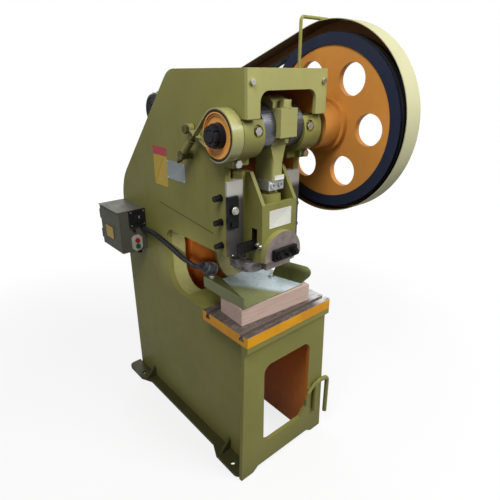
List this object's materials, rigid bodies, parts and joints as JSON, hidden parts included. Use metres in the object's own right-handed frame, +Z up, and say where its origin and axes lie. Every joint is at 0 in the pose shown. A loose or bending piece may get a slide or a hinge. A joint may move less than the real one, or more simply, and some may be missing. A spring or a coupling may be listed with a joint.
{
  "type": "mechanical stamping press",
  "caption": "Open-front crank press with a band brake, a belt-driven flywheel, a guided slide, a T-slotted table and a side control box.",
  "frame": {"origin": "centre of the floor-bolt pattern, on the floor", "axes": "+Z up, +X to the operator's right, -Y the open front where the operator stands"},
  "size_m": [0.685, 1.218, 1.7437],
  "materials": {
    "frame_green": "gloss",
    "front_green": "gloss",
    "inner_orange": "gloss",
    "table_iron": "machined, worn",
    "turned_steel": "polished",
    "machined_grey": "machined",
    "black_steel": "satin",
    "zinc_steel": "zinc plated",
    "bronze": "satin",
    "wheel_orange": "gloss",
    "brake_black": "friction lining",
    "belt_rubber": "matt",
    "motor_black": "satin",
    "pulley_iron": "turned",
    "guard_green": "gloss",
    "box_grey": "satin",
    "black_plastic": "satin",
    "white_plastic": "gloss",
    "red_plastic": "gloss",
    "green_plastic": "gloss",
    "black_rubber": "matt",
    "lamp_grey": "satin",
    "raw_wood": "planed",
    "tray_sheet": "gloss"
  },
  "bodies": {
    "frame": {"left_side_plate": "frame_green", "right_side_plate": "frame_green", "frame_back_plate": "inner_orange", "head_web": "inner_orange", "base_front_plate": "front_green", "bed_plate": "frame_green", "throat_liners": "frame_green", "foot_flanges": "frame_green", "bridge_plate": "front_green", "table": "table_iron", "left_bearing_block": "frame_green", "right_bearing_block": "frame_green", "left_bearing_cap": "front_green", "right_bearing_cap": "front_green", "main_bushes": "bronze", "head_bolts": "front_green", "brake_lining": "brake_black", "brake_band": "front_green", "brake_spring": "zinc_steel", "brake_anchors": "zinc_steel", "left_gib": "machined_grey", "right_gib": "machined_grey", "gib_bracket": "black_steel", "gib_screws": "black_steel", "drive_belts": "belt_rubber", "motor_housing": "motor_black", "motor_bracket": "frame_green", "belt_guard": "guard_green", "guard_supports": "guard_green", "control_box": "box_grey", "switch_plate": "black_plastic", "button_plate": "white_plastic", "cable_gland": "black_rubber", "lamp_arm": "black_plastic", "lamp_head": "lamp_grey", "pedal_fork": "frame_green", "wood_block": "raw_wood", "feed_tray": "tray_sheet"},
    "crank": {"crankshaft": "turned_steel", "brake_drum": "wheel_orange", "brake_hub_nut": "black_steel", "clutch_collar": "turned_steel"},
    "rod": {"connecting_rod": "front_green", "rod_cap": "front_green", "rod_bush": "bronze", "rod_cap_bolts": "zinc_steel", "rod_clamp": "machined_grey", "adjusting_screw": "zinc_steel", "ball_collar": "front_green"},
    "slide": {"slide": "front_green", "shank_clamp": "machined_grey", "clamp_fastening": "black_steel"},
    "knockout": {"knockout_bar": "black_steel"},
    "flywheel": {"flywheel": "wheel_orange"},
    "motor_rotor": {"motor_pulley": "pulley_iron"},
    "box_door": {"control_box_door": "box_grey"},
    "switch": {"switch_knob": "black_plastic"},
    "stop": {"stop_button": "red_plastic"},
    "start": {"start_button": "green_plastic"}
  },
  "joints": [
    {"name": "crank_turn", "type": "hinge", "parent": "frame", "child": "crank", "pos_m": [0, -0.354, 1.373], "axis": [-1, 0, 0], "range_deg": [0, 180]},
    {"name": "rod_pivot", "type": "hinge", "parent": "crank", "child": "rod", "pos_m": [0, -0.354, 1.4005], "axis": [-1, 0, 0], "range_deg": [-180, 0]},
    {"name": "slide_travel", "type": "slide", "parent": "frame", "child": "slide", "axis": [0, 0, -1], "range_m": [0, 0.055]},
    {"name": "knockout_rise", "type": "slide", "parent": "slide", "child": "knockout", "axis": [0, 0, 1], "range_m": [0, 0.043]},
    {"name": "flywheel_spin", "type": "hinge", "parent": "frame", "child": "flywheel", "pos_m": [0.33, -0.354, 1.373], "axis": [1, 0, 0], "continuous": true},
    {"name": "motor_spin", "type": "hinge", "parent": "frame", "child": "motor_rotor", "pos_m": [0.33, 0.23, 1.41], "axis": [1, 0, 0], "continuous": true},
    {"name": "box_door_swing", "type": "hinge", "parent": "frame", "child": "box_door", "pos_m": [-0.3015, 0.4945, 0.885], "axis": [0, 0, -1], "range_deg": [0, 110]},
    {"name": "switch_turn", "type": "hinge", "parent": "frame", "child": "switch", "pos_m": [-0.2183, 0.27, 0.945], "axis": [0, -1, 0], "range_deg": [-60, 60]},
    {"name": "stop_press", "type": "slide", "parent": "frame", "child": "stop", "axis": [0, 1, 0], "range_m": [0, 0.003], "stiffness_N_per_m": 800},
    {"name": "start_press", "type": "slide", "parent": "frame", "child": "start", "axis": [0, 1, 0], "range_m": [0, 0.003], "stiffness_N_per_m": 800}
  ],
  "couplings": [
    {"joint": "rod_pivot", "follows": "crank_turn", "ratio": -1},
    {"joint": "slide_travel", "follows": "crank_turn", "m_per_rad": 0.017507},
    {"joint": "motor_spin", "follows": "flywheel_spin", "ratio": 5.487}
  ]
}
